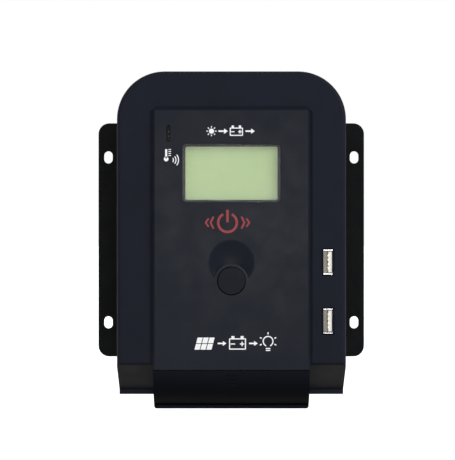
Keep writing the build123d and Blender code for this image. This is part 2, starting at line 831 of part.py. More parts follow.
with BuildPart() as transistors:
    add(blocks([(x, (body_top + body_bottom) / 2) for x in transistor_xs], transistor_width,
               transistor_height, sheet_front, sheet_front + transistor_thickness))
    add(blocks(tab_screw_places, transistor_width, tab_height, sheet_front,
               sheet_front + tab_thickness))
    add(rods(tab_screw_places, case_screw_r, sheet_front, sheet_front + tab_thickness),
        mode=Mode.SUBTRACT)
    add(blocks([(x, body_bottom - lead_drop / 2) for x in lead_xs], lead_size,
               lead_drop + lead_size, lead_back, lead_back + lead_size))
    add(blocks(lead_places, lead_size, lead_size, lead_back, board_front + lead_size))
write(transistors.part, "power_transistors")
tab_front = sheet_front + tab_thickness
write(pan_screws(tab_screw_places, tab_front, tab_front - base_back - 2 * pilot_end, case_screw_r, 1),
      "transistor_screws")

# ---- Main board on its stand-offs, with a tongue under the terminal block
board_top = case_top - case_wall - board_margin - board_top_gap
tongue_width = block_width - 2 * part_gap
upper_bottom = surround_top + board_foot_gap
board_half = case_width / 2 - case_wall - board_margin
with BuildPart() as main_board:
    with BuildSketch(Plane.XZ.offset(board_back)) as board_outline:
        with Locations((0, (board_top + upper_bottom) / 2)):
            Rectangle(2 * board_half, board_top - upper_bottom)
        chamfer(board_outline.vertices().group_by(Axis.Y)[-1], length=case_corner_r / 2)
        with Locations((0, (upper_bottom + block_bottom) / 2)):
            Rectangle(tongue_width, upper_bottom - block_bottom)
    extrude(amount=board_thickness)
    add(rods(case_screw_places, boss_r + screw_clearance, board_back, board_front),
        mode=Mode.SUBTRACT)
    add(rods(standoff_places, case_screw_r + screw_clearance, board_back, board_front),
        mode=Mode.SUBTRACT)
    add(rods(tab_screw_places, case_screw_r * head_ratio + screw_clearance, board_back,
             board_front), mode=Mode.SUBTRACT)
    add(blocks(leg_places, leg_width, bar_thickness, board_back, board_front),
        mode=Mode.SUBTRACT)
    add(blocks(lead_places, lead_size, lead_size, board_back, board_front), mode=Mode.SUBTRACT)
write(main_board.part, "main_board")

with BuildPart() as standoffs:
    with BuildSketch(Plane.XZ.offset(base_front)):
        with Locations(*standoff_places):
            RegularPolygon(case_screw_r * 2.1, 6)
    extrude(amount=standoff_height)
    add(rods(standoff_places, case_screw_r, base_front, board_back), mode=Mode.SUBTRACT)
write(standoffs.part, "board_standoffs")
board_screw_length = board_front - base_back - 1.5 * pilot_end
write(pan_screws(standoff_places, board_front, board_screw_length, case_screw_r, 1),
      "board_screws")

# ---- Main board parts: choke, capacitors, fuses, shunts and driver chips
winding_r = choke_r + part_gap / 2 + wire_d
choke_z = display_board_bottom - winding_r - 3 * part_gap
choke_place = (-board_half + choke_r + choke_side, choke_z)
choke_back = board_front + wire_d + part_gap
with BuildPart() as choke_core:
    add(rods([choke_place], choke_r, choke_back, choke_back + choke_height))
    add(rods([choke_place], choke_bore_r, choke_back, choke_back + choke_height),
        mode=Mode.SUBTRACT)
write(choke_core.part, "choke_core")

choke_centre = (choke_place[0], -(choke_back + choke_height / 2), choke_place[1])
choke_plane = Plane(choke_centre, x_dir=(1, 0, 0), z_dir=(0, -1, 0))
core_middle_r = (choke_r + choke_bore_r) / 2
core_width = choke_r - choke_bore_r + part_gap
core_height = choke_height + part_gap
with BuildPart(choke_plane) as choke_winding:
    with PolarLocations(core_middle_r, choke_turns):
        Box(core_width + 2 * wire_d, wire_d, core_height + 2 * wire_d)
        Box(core_width, 2 * wire_d, core_height, mode=Mode.SUBTRACT)
write(choke_winding.part, "choke_winding")

capacitor_pitch = 2 * capacitor_r + 1.5
capacitor_places = [
    (6.0 + column * capacitor_pitch, choke_place[1] + row * capacitor_pitch)
    for column in range(3)
    for row in (-0.5, 0.5)
]
with BuildPart() as capacitors:
    add(rods(capacitor_places, capacitor_r, board_front, board_front + capacitor_height))
    crowns = capacitors.faces().filter_by(Axis.Y).group_by(Axis.Y)[0]
    fillet(crowns.edges(), radius=capacitor_r / 8)
write(capacitors.part, "capacitors")

fuse_length = 20.0
fuse_r = 2.6
fuse_wall = 0.6
fuse_lift = 1.5
fuse_outer_x = 35.0
fuse_spacing = 10.0
fuse_rise = 24.0
fuse_depth = board_front + fuse_r + fuse_lift
fuse_places = [(i * fuse_spacing - fuse_outer_x, transistor_z + fuse_rise) for i in range(2)]
with BuildPart() as fuses:
    with Locations(*[(x, -fuse_depth, z) for x, z in fuse_places]):
        Cylinder(fuse_r, fuse_length)
write(fuses.part, "fuses")
clip_length = 5.0
clip_zs = [fuse_places[0][1] + end * (fuse_length - clip_length) / 2 for end in (-1, 1)]
clip_places = [(x, z) for x, _ in fuse_places for z in clip_zs]
with BuildPart() as fuse_clips:
    add(blocks(clip_places, 2 * (fuse_r + fuse_wall), clip_length, board_front,
               fuse_depth + fuse_r / 2))
    with Locations(*[(x, -fuse_depth, z) for x, z in fuse_places]):
        Cylinder(fuse_r, 2 * fuse_length, mode=Mode.SUBTRACT)
    for x, z in fuse_places:
        add(blocks([(x, z)], 2 * fuse_r * 0.8, 2 * fuse_length, fuse_depth,
                   fuse_depth + 2 * fuse_r), mode=Mode.SUBTRACT)
write(fuse_clips.part, "fuse_clips")

shunt_height = 5.0
shunt_width = 16.0
shunt_strip = 1.2
shunt_rise = 6.0
shunt_spread = 20.0
shunt_places = [(side * shunt_spread, surround_top + shunt_rise) for side in (-1, 1)]
with BuildPart() as shunts:
    add(blocks(shunt_places, shunt_width, shunt_strip * 2, board_front,
               board_front + shunt_height))
    add(blocks(shunt_places, shunt_width - 2 * shunt_strip, shunt_strip * 4, board_front,
               board_front + shunt_height - shunt_strip), mode=Mode.SUBTRACT)
write(shunts.part, "shunts")


def flat_chip(places, size, height, back, facing, legs, leg_reach):
    """Square chips on a board: `facing` 1 stands forward of depth `back`, -1 behind it."""
    leg_zs = [(i - (legs - 1) / 2) * size * 0.85 / legs for i in range(legs)]
    leg_size = size * 0.35 / legs
    with BuildPart() as chips:
        with BuildSketch(Plane.XZ.offset(back + facing * part_gap)):
            with Locations(*places):
                Rectangle(size, size)
        extrude(amount=facing * height)
        with BuildSketch(Plane.XZ.offset(back)):
            with Locations(*[(x, z + step) for x, z in places for step in leg_zs]):
                Rectangle(size + 2 * leg_reach, leg_size)
        extrude(amount=facing * (part_gap + height / 4))
    return chips.part


chip_height = 1.4
driver_size = 5.0
driver_reach = 0.8
driver_spacing = 14.0
driver_rise = 22.0
driver_places = [(i * driver_spacing, transistor_z + driver_rise) for i in range(3)]
write(flat_chip(driver_places, driver_size, chip_height, board_front, 1, 4, driver_reach),
      "driver_chips")
controller_size = 12.0
controller_reach = 1.0
controller_drop = 8.0
controller_places = [(0, display_board_z - controller_drop)]
write(flat_chip(controller_places, controller_size, chip_height, display_board_back, -1, 12,
                controller_reach), "controller_chip")

# ---- Plug connection between the two boards
header_base = 2.5
link_width = link_pitch * link_count
socket_back = board_front + header_base + part_gap
with BuildPart() as board_header:
    add(blocks([(0, link_z)], link_width, link_pitch, board_front, board_front + header_base))
    add(blocks(link_places, pin_size, pin_size, board_front, display_board_back - 3.0))
write(board_header.part, "board_header")
with BuildPart() as board_socket:
    add(blocks([(0, link_z)], link_width, link_pitch, socket_back, display_board_back))
    add(blocks(link_places, pin_size, pin_size, socket_back, display_board_back - 2.0),
        mode=Mode.SUBTRACT)
write(board_socket.part, "board_socket")

# ---- USB board behind the right shoulder, its header down to the main board
usb_board_height = usb_spacing + 2 * usb_boss_offset + 2 * small_boss_r
usb_link_places = [(usb_x, usb_middle_z + (i - 1.5) * link_pitch) for i in range(4)]
with BuildPart() as usb_board:
    add(blocks([(usb_x, usb_middle_z)], usb_board_width, usb_board_height, usb_board_back,
               usb_board_front))
    add(rods(usb_boss_places, small_screw_r + screw_clearance, usb_board_back,
             usb_board_front), mode=Mode.SUBTRACT)
    add(blocks(usb_link_places, pin_size, pin_size, usb_board_back, usb_board_front),
        mode=Mode.SUBTRACT)
write(usb_board.part, "usb_board")
write(pan_screws(usb_boss_places, usb_board_back, board_thickness + usb_screw_grip, small_screw_r, -1),
      "usb_board_screws")
with BuildPart() as usb_header:
    add(blocks([(usb_x, usb_middle_z)], link_pitch, 4 * link_pitch, board_front, usb_board_back))
    add(blocks(usb_link_places, pin_size, pin_size, usb_board_back, usb_board_front + 1.0))
write(usb_header.part, "usb_header")

# ---- USB sockets: a folded shell flared at its mouth, a white tongue and four contacts
shell_front = shoulder_front + usb_hole_gap
tongue_front = shell_front - tongue_setback
tongue_foot = 2.0
contact_height = 1.0
contact_pitch = 2.3
contact_thickness = 0.25
contact_face = usb_x + tongue_offset - tongue_thickness / 2
contact_offsets = [(i - 1.5) * contact_pitch for i in range(4)]


def usb_shell(z):
    """The folded metal shell around one socket."""
    place = [(usb_x, z)]
    outer_width = usb_open_width + 2 * usb_metal
    outer_height = usb_open_height + 2 * usb_metal
    with BuildPart() as shell:
        add(rounded_block(place, outer_width, outer_height, usb_metal, usb_board_front,
                          shell_front))
        add(rounded_block(place, usb_flare_width, usb_flare_height, usb_metal,
                          shell_front - usb_metal, shell_front))
        add(blocks(place, usb_open_width, usb_open_height, usb_board_front, shell_front + 1.0),
            mode=Mode.SUBTRACT)
    return shell.part


def usb_tongue(z):
    """The white insulator: a foot that fills the shell's back and the tongue it carries."""
    with BuildPart() as tongue:
        add(blocks([(usb_x, z)], usb_open_width, usb_open_height, usb_board_front,
                   usb_board_front + tongue_foot))
        add(blocks([(usb_x + tongue_offset, z)], tongue_thickness, tongue_height,
                   usb_board_front, tongue_front))
    return tongue.part


for name, z in zip(("upper", "lower"), usb_zs):
    write(usb_shell(z), f"usb_shell_{name}")
    write(usb_tongue(z), f"usb_tongue_{name}")
contact_places = [
    (contact_face - contact_thickness / 2, z + step) for z in usb_zs for step in contact_offsets
]
write(blocks(contact_places, contact_thickness, contact_height, usb_board_front + tongue_foot,
             tongue_front - tongue_setback), "usb_contacts")
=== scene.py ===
import math

import bmesh
import bpy
from mathutils import Matrix, Vector


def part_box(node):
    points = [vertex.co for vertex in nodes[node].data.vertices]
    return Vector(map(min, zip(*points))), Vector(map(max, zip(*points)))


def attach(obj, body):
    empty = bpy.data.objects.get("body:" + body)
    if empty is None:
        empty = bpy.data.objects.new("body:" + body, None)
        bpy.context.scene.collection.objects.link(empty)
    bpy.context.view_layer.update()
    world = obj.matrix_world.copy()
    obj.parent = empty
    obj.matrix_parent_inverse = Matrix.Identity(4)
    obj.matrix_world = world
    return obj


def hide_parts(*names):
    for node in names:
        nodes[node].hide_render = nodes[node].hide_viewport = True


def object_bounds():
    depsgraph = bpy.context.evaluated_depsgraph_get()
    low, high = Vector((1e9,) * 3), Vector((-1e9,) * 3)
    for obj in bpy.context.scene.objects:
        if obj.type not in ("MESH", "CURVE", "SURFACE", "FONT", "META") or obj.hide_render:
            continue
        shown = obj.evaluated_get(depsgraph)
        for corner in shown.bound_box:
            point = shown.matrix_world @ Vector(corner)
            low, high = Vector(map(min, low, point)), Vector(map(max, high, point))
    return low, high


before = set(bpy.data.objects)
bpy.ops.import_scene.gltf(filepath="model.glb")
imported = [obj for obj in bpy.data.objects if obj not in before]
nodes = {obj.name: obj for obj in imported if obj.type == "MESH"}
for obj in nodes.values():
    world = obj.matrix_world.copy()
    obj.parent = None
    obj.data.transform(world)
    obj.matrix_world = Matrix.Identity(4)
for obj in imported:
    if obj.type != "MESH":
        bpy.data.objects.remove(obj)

MM = 0.001
cad_low, cad_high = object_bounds()
scene = bpy.context.scene
scene.view_settings.view_transform = "Standard"

# ---------------------------------------------------------------- Camera
# The controller is seen square on, from a little under a metre in front of the wall,
# with its middle slightly right of and below the lens.
camera_data = bpy.data.cameras.new("camera")
camera_data.sensor_fit = "VERTICAL"
camera_data.sensor_height = 36.0
camera_data.lens = 132.9
camera_data.clip_start = 0.05
camera = bpy.data.objects.new("camera", camera_data)
camera.location = (-2.1 * MM, -948.5 * MM, 5.5 * MM)
camera.rotation_euler = (math.radians(90), 0, 0)
scene.collection.objects.link(camera)
scene.camera = camera


# ---------------------------------------------------------------- Studio light and floor
# A pale studio: a white surround, three wide soft lamps and a box light behind the lens. The
# pale floor lies below the hanging controller, with room for its terminal cover to slide off.
def soft_sun(name, towards, strength, spread):
    """A very wide, even lamp that shines towards a direction."""
    lamp = bpy.data.lights.new(name, "SUN")
    lamp.energy = strength
    lamp.angle = math.radians(spread)
    holder = bpy.data.objects.new(name, lamp)
    holder.rotation_euler = Vector(towards).to_track_quat("-Z", "Y").to_euler()
    scene.collection.objects.link(holder)


def box_light(name, place, towards, size, watts):
    """A rectangular soft box aimed at a point."""
    lamp = bpy.data.lights.new(name, "AREA")
    lamp.shape = "RECTANGLE"
    lamp.size, lamp.size_y = size
    lamp.energy = watts
    holder = bpy.data.objects.new(name, lamp)
    holder.location = place
    aim = Vector(towards) - Vector(place)
    holder.rotation_euler = aim.to_track_quat("-Z", "Y").to_euler()
    scene.collection.objects.link(holder)


def background_ray(tree):
    """1 for the rays that show the background itself: camera, mirror and glass rays."""
    path = tree.nodes.new("ShaderNodeLightPath")
    seen = tree.nodes.new("ShaderNodeMath")
    seen.operation = "MAXIMUM"
    tree.links.new(path.outputs["Is Camera Ray"], seen.inputs[0])
    tree.links.new(path.outputs["Is Glossy Ray"], seen.inputs[1])
    either = tree.nodes.new("ShaderNodeMath")
    either.operation = "MAXIMUM"
    tree.links.new(seen.outputs[0], either.inputs[0])
    tree.links.new(path.outputs["Is Transmission Ray"], either.inputs[1])
    return either.outputs[0]


soft_sun("key_from_right", (-0.78, 0.62, -0.52), 1.85, 32)
soft_sun("fill_from_above", (0.20, 0.75, -0.65), 0.55, 50)
soft_sun("fill_from_behind", (0.35, -0.80, -0.48), 0.80, 50)
box_light("box_behind_lens", (0.03, -1.25, 0.025), (0.0, 0.0, 0.02), (0.30, 0.20), 2.0)

world = bpy.data.worlds.new("white_surround")
world.use_nodes = True
surround = world.node_tree
soft = surround.nodes["Background"]
soft.inputs["Color"].default_value = (1.0, 1.0, 1.0, 1.0)
soft.inputs["Strength"].default_value = 0.32
white = surround.nodes.new("ShaderNodeBackground")
white.inputs["Color"].default_value = (1.0, 1.0, 1.0, 1.0)
white.inputs["Strength"].default_value = 1.0
shown = surround.nodes.new("ShaderNodeMixShader")
surround.links.new(background_ray(surround), shown.inputs[0])
surround.links.new(soft.outputs[0], shown.inputs[1])
surround.links.new(white.outputs[0], shown.inputs[2])
surround.links.new(shown.outputs[0], surround.nodes["World Output"].inputs["Surface"])
scene.world = world

floor_finish = bpy.data.materials.new("pale_floor")
floor_finish.use_nodes = True
floor_tree = floor_finish.node_tree
floor_shader = floor_tree.nodes["Principled BSDF"]
floor_shader.inputs["Base Color"].default_value = (0.90, 0.90, 0.90, 1.0)
floor_shader.inputs["Roughness"].default_value = 0.9
floor_shader.inputs["Specular IOR Level"].default_value = 0.0
floor_shader.inputs["Emission Color"].default_value = (1.0, 1.0, 1.0, 1.0)
lift = floor_tree.nodes.new("ShaderNodeMath")
lift.operation = "MULTIPLY"
lift.inputs[1].default_value = 0.60
floor_tree.links.new(background_ray(floor_tree), lift.inputs[0])
floor_tree.links.new(lift.outputs[0], floor_shader.inputs["Emission Strength"])
floor_mesh = bpy.data.meshes.new("floor")
floor_half = 12.0
room_below = 30 * MM
floor_z = cad_low.z - room_below
floor_mesh.from_pydata(
    [(x * floor_half, y * floor_half, floor_z) for x, y in ((-1, -1), (1, -1), (1, 1), (-1, 1))],
    [], [(0, 1, 2, 3)])
floor_mesh.materials.append(floor_finish)
floor = bpy.data.objects.new("floor", floor_mesh)
scene.collection.objects.link(floor)


# ---------------------------------------------------------------- Mounting plate
# A 2 mm sheet steel plate, punched with four hanging slots and four countersunk holes,
# its edges tumbled smooth, then powder-coated black with a fine orange peel.
def new_finish(name, colour, roughness, metallic=0.0, specular=0.5):
    """A material with its shader set to plain values, ready for grain and wear."""
    finish = bpy.data.materials.new(name)
    finish.use_nodes = True
    shader = finish.node_tree.nodes["Principled BSDF"]
    shader.inputs["Base Color"].default_value = (*colour, 1.0)
    shader.inputs["Roughness"].default_value = roughness
    shader.inputs["Metallic"].default_value = metallic
    shader.inputs["Specular IOR Level"].default_value = specular
    return finish


def grain(finish, size, detail=2.0, stretch=(1.0, 1.0, 1.0)):
    """Cloudy grain whose blotches are about `size` across, drawn out along the axes."""
    tree = finish.node_tree
    place = tree.nodes.new("ShaderNodeTexCoord")
    draw_out = tree.nodes.new("ShaderNodeMapping")
    draw_out.inputs["Scale"].default_value = [1.0 / along for along in stretch]
    cloud = tree.nodes.new("ShaderNodeTexNoise")
    cloud.inputs["Scale"].default_value = 1.0 / size
    cloud.inputs["Detail"].default_value = detail
    tree.links.new(place.outputs["Object"], draw_out.inputs["Vector"])
    tree.links.new(draw_out.outputs["Vector"], cloud.inputs["Vector"])
    return cloud.outputs["Fac"]


def between(finish, amount, low, high, start=0.3, end=0.7):
    """Turns a 0 to 1 amount into a number between low and high."""
    tree = finish.node_tree
    stretch = tree.nodes.new("ShaderNodeMapRange")
    stretch.inputs["From Min"].default_value = start
    stretch.inputs["From Max"].default_value = end
    stretch.inputs["To Min"].default_value = low
    stretch.inputs["To Max"].default_value = high
    tree.links.new(amount, stretch.inputs["Value"])
    return stretch.outputs["Result"]


def two_tone(finish, amount, dark, pale, start=0.3, end=0.7):
    """Colours a 0 to 1 amount from dark to pale."""
    tree = finish.node_tree
    ramp = tree.nodes.new("ShaderNodeValToRGB")
    ramp.color_ramp.elements[0].position = start
    ramp.color_ramp.elements[0].color = (*dark, 1.0)
    ramp.color_ramp.elements[1].position = end
    ramp.color_ramp.elements[1].color = (*pale, 1.0)
    tree.links.new(amount, ramp.inputs["Fac"])
    return ramp.outputs["Color"]


def feed(finish, value, socket):
    """Leads a value into one of the shader's sockets."""
    shader = finish.node_tree.nodes["Principled BSDF"]
    finish.node_tree.links.new(value, shader.inputs[socket])


def relief(finish, height, depth, strength=1.0):
    """Raises the surface by a height field, on top of any relief it already has."""
    tree = finish.node_tree
    shader = tree.nodes["Principled BSDF"]
    bump = tree.nodes.new("ShaderNodeBump")
    bump.inputs["Strength"].default_value = strength
    bump.inputs["Distance"].default_value = depth
    tree.links.new(height, bump.inputs["Height"])
    for link in tree.links:
        if link.to_socket == shader.inputs["Normal"]:
            tree.links.new(link.from_socket, bump.inputs["Normal"])
            break
    tree.links.new(bump.outputs["Normal"], shader.inputs["Normal"])


def rubbed_edges(finish, reach, start=0.02, end=0.25):
    """About 1 on the outer edges of a piece, where hands and tools have rubbed it."""
    tree = finish.node_tree
    rounded = tree.nodes.new("ShaderNodeBevel")
    rounded.samples = 4
    rounded.inputs["Radius"].default_value = reach
    surface = tree.nodes.new("ShaderNodeNewGeometry")
    along = tree.nodes.new("ShaderNodeVectorMath")
    along.operation = "DOT_PRODUCT"
    tree.links.new(rounded.outputs["Normal"], along.inputs[0])
    tree.links.new(surface.outputs["Normal"], along.inputs[1])
    turned = tree.nodes.new("ShaderNodeMath")
    turned.operation = "SUBTRACT"
    turned.inputs[0].default_value = 1.0
    tree.links.new(along.outputs["Value"], turned.inputs[1])
    return between(finish, turned.outputs[0], 0.0, 1.0, start, end)


def blend_colours(finish, amount, first, second):
    """Mixes two colours, each a socket or a plain colour, by an amount."""
    tree = finish.node_tree
    mix = tree.nodes.new("ShaderNodeMix")
    mix.data_type = "RGBA"
    tree.links.new(amount, mix.inputs["Factor"])
    for socket, colour in ((mix.inputs[6], first), (mix.inputs[7], second)):
        if isinstance(colour, tuple):
            socket.default_value = (*colour, 1.0)
        else:
            tree.links.new(colour, socket)
    return mix.outputs[2]


def rounded_loop(width, height, corner_r, centre=(0.0, 0.0), steps=8):
    """Points round a rectangle with round corners, or a slot where the corners meet."""
    loop = []
    for quarter, (sx, sz) in enumerate(((1, 1), (-1, 1), (-1, -1), (1, -1))):
        cx = centre[0] + sx * (width / 2 - corner_r)
        cz = centre[1] + sz * (height / 2 - corner_r)
        for i in range(steps + 1):
            angle = math.radians(90 * quarter + 90 * i / steps)
            loop.append((cx + corner_r * math.cos(angle), cz + corner_r * math.sin(angle)))
    return loop


def round_loop(radius, centre=(0.0, 0.0), steps=32):
    """Points round a circle."""
    turns = [2 * math.pi * i / steps for i in range(steps)]
    return [(centre[0] + radius * math.cos(t), centre[1] + radius * math.sin(t)) for t in turns]


def cut_sheet(name, loops, back, front, edge_r=0.0):
    """A flat piece cut to its outline and holes, standing between two depths, edges eased."""
    curve = bpy.data.curves.new(name, "CURVE")
    curve.dimensions = "2D"
    curve.fill_mode = "BOTH"
    curve.extrude = (front - back) / 2 - edge_r
    curve.bevel_depth = edge_r
    curve.bevel_resolution = 3
    curve.offset = -edge_r
    for loop in loops:
        spline = curve.splines.new("POLY")
        spline.points.add(len(loop) - 1)
        spline.use_cyclic_u = True
        for point, (x, z) in zip(spline.points, loop):
            point.co = (x, z, 0.0, 1.0)
    rough = bpy.data.objects.new(name, curve)
    scene.collection.objects.link(rough)
    mesh = bpy.data.meshes.new_from_object(rough.evaluated_get(
        bpy.context.evaluated_depsgraph_get()))
    bpy.data.objects.remove(rough)
    upright = Matrix.Translation((0.0, -(front + back) / 2, 0.0)) @ Matrix.Rotation(
        math.radians(90), 4, "X")
    mesh.transform(upright)
    cleaner = bmesh.new()
    cleaner.from_mesh(mesh)
    bmesh.ops.remove_doubles(cleaner, verts=cleaner.verts, dist=1e-7)
    cleaner.to_mesh(mesh)
    cleaner.free()
    mesh.name = name
    return add_piece(name, mesh)


def add_piece(name, mesh, smooth_below=35):
    """A new piece from a finished mesh, shaded smooth except over sharp edges."""
    mesh.shade_smooth()
    mesh.set_sharp_from_angle(angle=math.radians(smooth_below))
    piece = bpy.data.objects.new(name, mesh)
    scene.collection.objects.link(piece)
    return piece


def dress(piece, finish):
    """Gives a piece one finish all over."""
    if len(piece.material_slots) == 0:
        piece.data.materials.append(finish)
    for place in piece.material_slots:
        place.material = finish


powder_coat = new_finish("powder_coat", (0.0050, 0.0053, 0.0057), 0.5, specular=0.03)
peel = grain(powder_coat, 0.45 * MM, 3.0)
relief(powder_coat, peel, 0.020 * MM, 0.7)
feed(powder_coat, between(powder_coat, grain(powder_coat, 9 * MM), 0.44, 0.60), "Roughness")
coat_tone = two_tone(powder_coat, peel, (0.0042, 0.0045, 0.0050), (0.0070, 0.0073, 0.0078))
plate_wear = rubbed_edges(powder_coat, 0.5 * MM, 0.04, 0.40)
feed(powder_coat, blend_colours(powder_coat, plate_wear, coat_tone, (0.022, 0.022, 0.023)),
     "Base Color")

plate_low, plate_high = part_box("mounting_plate")
plate_width = plate_high.x - plate_low.x
plate_height = plate_high.z - plate_low.z
screw_low, screw_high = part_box("plate_screws")
screw_r = 2.6 * MM
hole_clearance = 0.05 * MM
plate_corner_r = 6 * MM
plate_edge_r = 0.35 * MM
slot_width = 4.8 * MM
slot_height = 6.8 * MM
slot_end_r = 2.39 * MM
slot_x = plate_high.x - 5.5 * MM
slot_z = plate_high.z - 19 * MM
plate_loops = [rounded_loop(plate_width, plate_height, plate_corner_r)]
for x in (-slot_x, slot_x):
    for z in (-slot_z, slot_z):
        plate_loops.append(rounded_loop(slot_width, slot_height, slot_end_r, (x, z)))
for x in (screw_low.x + screw_r, screw_high.x - screw_r):
    for z in (screw_low.z + screw_r, screw_high.z - screw_r):
        plate_loops.append(round_loop(screw_r + hole_clearance, (x, z)))
back_plate = cut_sheet("back_plate", plate_loops, -plate_high.y, -plate_low.y, plate_edge_r)
dress(back_plate, powder_coat)
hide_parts("mounting_plate")
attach(back_plate, "case")

# ---------------------------------------------------------------- Heat sink
# An aluminium extrusion cut to length: it closes the back of the case and cools it. Die lines
# run along the fins, and the raw metal has a thin dull skin of oxide.
extruded = new_finish("extruded_aluminium", (0.60, 0.61, 0.63), 0.36, metallic=1.0)
die_lines = grain(extruded, 0.35 * MM, 3.0, (1.0, 1.0, 220.0))
oxide = grain(extruded, 14 * MM, 4.0)
relief(extruded, die_lines, 0.015 * MM, 0.6)
feed(extruded, between(extruded, oxide, 0.30, 0.50), "Roughness")
feed(extruded, two_tone(extruded, die_lines, (0.46, 0.47, 0.49), (0.70, 0.71, 0.73)),
     "Base Color")
dress(nodes["heat_sink"], extruded)

# ---------------------------------------------------------------- Steel screws and standoffs
# Small machine screws and standoffs of zinc-plated steel, driven from the back and inside.
# The plating is bright with a faint blue-yellow cast, dulled where the driver has slipped.
zinc = new_finish("zinc_plate", (0.62, 0.62, 0.60), 0.30, metallic=1.0)
passivation = grain(zinc, 2.2 * MM, 3.0)
tool_marks = grain(zinc, 0.12 * MM, 2.0, (1.0, 6.0, 1.0))
relief(zinc, tool_marks, 0.008 * MM, 0.6)
feed(zinc, between(zinc, tool_marks, 0.24, 0.40), "Roughness")
feed(zinc, two_tone(zinc, passivation, (0.55, 0.57, 0.60), (0.70, 0.67, 0.56)), "Base Color")
for name in ("plate_screws", "case_screws", "board_screws", "board_standoffs",
             "display_board_screws", "transistor_screws", "usb_board_screws"):
    dress(nodes[name], zinc)

# ---------------------------------------------------------------- Front cover and terminal cover
# Two black ABS mouldings. The tool's faces were spark-eroded, so the plastic has a fine matt
# grain, and the raised middle panel was polished back a little and looks smoother and paler.
def part_place(finish, axis):
    """Where a point is along one axis, in metres."""
    tree = finish.node_tree
    place = tree.nodes.new("ShaderNodeTexCoord")
    split = tree.nodes.new("ShaderNodeSeparateXYZ")
    tree.links.new(place.outputs["Object"], split.inputs[0])
    return split.outputs[axis]


def combine(finish, work, first, second):
    """Works on two numbers, each a socket or a plain number."""
    tree = finish.node_tree
    node = tree.nodes.new("ShaderNodeMath")
    node.operation = work
    for socket, number in zip(node.inputs, (first, second)):
        if isinstance(number, (int, float)):
            socket.default_value = number
        else:
            tree.links.new(number, socket)
    return node.outputs[0]


def coarse_below(finish):
    """About 1 on faces that look down, which get painted shade: a deeper black where they face away
    from the light.
    """
    tree = finish.node_tree
    facing = tree.nodes.new("ShaderNodeNewGeometry")
    split = tree.nodes.new("ShaderNodeSeparateXYZ")
    tree.links.new(facing.outputs["Normal"], split.inputs[0])
    return between(finish, split.outputs["Z"], 1.0, 0.0, -0.60, -0.10)


def moulded_abs(name, colour, roughness, specular):
    """Black ABS with spark-eroded grain, faint flow marks, handled paler edges, and painted shade
    on faces that look down.
    """
    finish = new_finish(name, colour, roughness, specular=specular)
    sparks = grain(finish, 0.16 * MM, 3.0)
    relief(finish, sparks, 0.012 * MM, 0.45)
    flow = grain(finish, 38 * MM, 3.0, (1.0, 1.0, 2.2))
    handled = grain(finish, 11 * MM, 5.0)
    tone = two_tone(finish, flow, tuple(0.93 * c for c in colour), tuple(1.07 * c for c in colour))
    edges = rubbed_edges(finish, 0.6 * MM, 0.05, 0.45)
    rubbed = blend_colours(finish, edges, tone, tuple(1.6 * c for c in colour))
    # Painted shade: faces that look down are darkened to 0.15 of the colour.
    toned = blend_colours(finish, coarse_below(finish), rubbed, tuple(0.15 * c for c in colour))
    rough = between(finish, handled, roughness - 0.04, roughness + 0.05)
    feed(finish, toned, "Base Color")
    feed(finish, rough, "Roughness")
    return finish, toned, rough


case_abs, shoulder_tone, shoulder_rough = moulded_abs(
    "case_abs", (0.0066, 0.0080, 0.0142), 0.56, 0.07)
panel_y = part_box("front_cover")[0].y
panel_rise = 2.5 * MM
shoulder_y = panel_y + panel_rise
polish = 0.25
raised = between(case_abs, part_place(case_abs, "Y"), 1.0, 0.0,
                 shoulder_y - 0.4 * MM, shoulder_y - 0.1 * MM)
panel_tone = two_tone(case_abs, grain(case_abs, 60 * MM), (0.0046, 0.0064, 0.0118),
                      (0.0060, 0.0080, 0.0136))
feed(case_abs, blend_colours(case_abs, raised, shoulder_tone, panel_tone), "Base Color")
feed(case_abs, combine(case_abs, "SUBTRACT", shoulder_rough,
                       combine(case_abs, "MULTIPLY", raised, polish)), "Roughness")
dress(nodes["front_cover"], case_abs)

# The terminal cover's plastic is a darker copy of the case's: painted shade for its face, which
# curves down and away from the light.
shaded_lid_abs = moulded_abs("shaded_lid_abs", (0.0034, 0.0044, 0.0072), 0.54, 0.03)[0]
dress(nodes["terminal_cover"], shaded_lid_abs)

# ---------------------------------------------------------------- Printed marks on the panel
# Thin pad-printed ink, white and red, cured on the moulding and very slightly raised: plain
# pictures of what each part of the panel does.
ink_thickness = 0.04 * MM
ink_sunk = 0.005 * MM
panel_depth = -panel_y


def printed_ink(name, colour, worn):
    """Semi-gloss ink, a little uneven, thin where it has worn."""
    finish = new_finish(name, colour, 0.45, specular=0.35)
    coverage = grain(finish, 0.5 * MM, 4.0)
    relief(finish, coverage, 0.010 * MM, 0.5)
    feed(finish, two_tone(finish, coverage, worn, colour, 0.25, 0.45), "Base Color")
    feed(finish, between(finish, coverage, 0.38, 0.55), "Roughness")
    return finish


def stroke(start, end, width):
    """A straight bar between two points."""
    run, rise = end[0] - start[0], end[1] - start[1]
    length = math.hypot(run, rise)
    ox, oz = -rise / length * width / 2, run / length * width / 2
    return [(start[0] - ox, start[1] - oz), (end[0] - ox, end[1] - oz),
            (end[0] + ox, end[1] + oz), (start[0] + ox, start[1] + oz)]


def frame_loops(width, height, corner_r, line, centre):
    """The two loops of a hollow rectangle."""
    inner_r = max(corner_r - line, 0.05 * MM)
    return [rounded_loop(width, height, corner_r, centre, 4),
            rounded_loop(width - 2 * line, height - 2 * line, inner_r, centre, 4)]


def arc_band(radius, line, centre, first, last):
    """Part of a ring, between two angles in degrees."""
    steps = 40
    sweep = [math.radians(first + (last - first) * i / steps) for i in range(steps + 1)]
    inner_r = radius - line
    outer = [(centre[0] + radius * math.cos(t), centre[1] + radius * math.sin(t)) for t in sweep]
    inner = [(centre[0] + inner_r * math.cos(t), centre[1] + inner_r * math.sin(t))
             for t in reversed(sweep)]
    return outer + inner


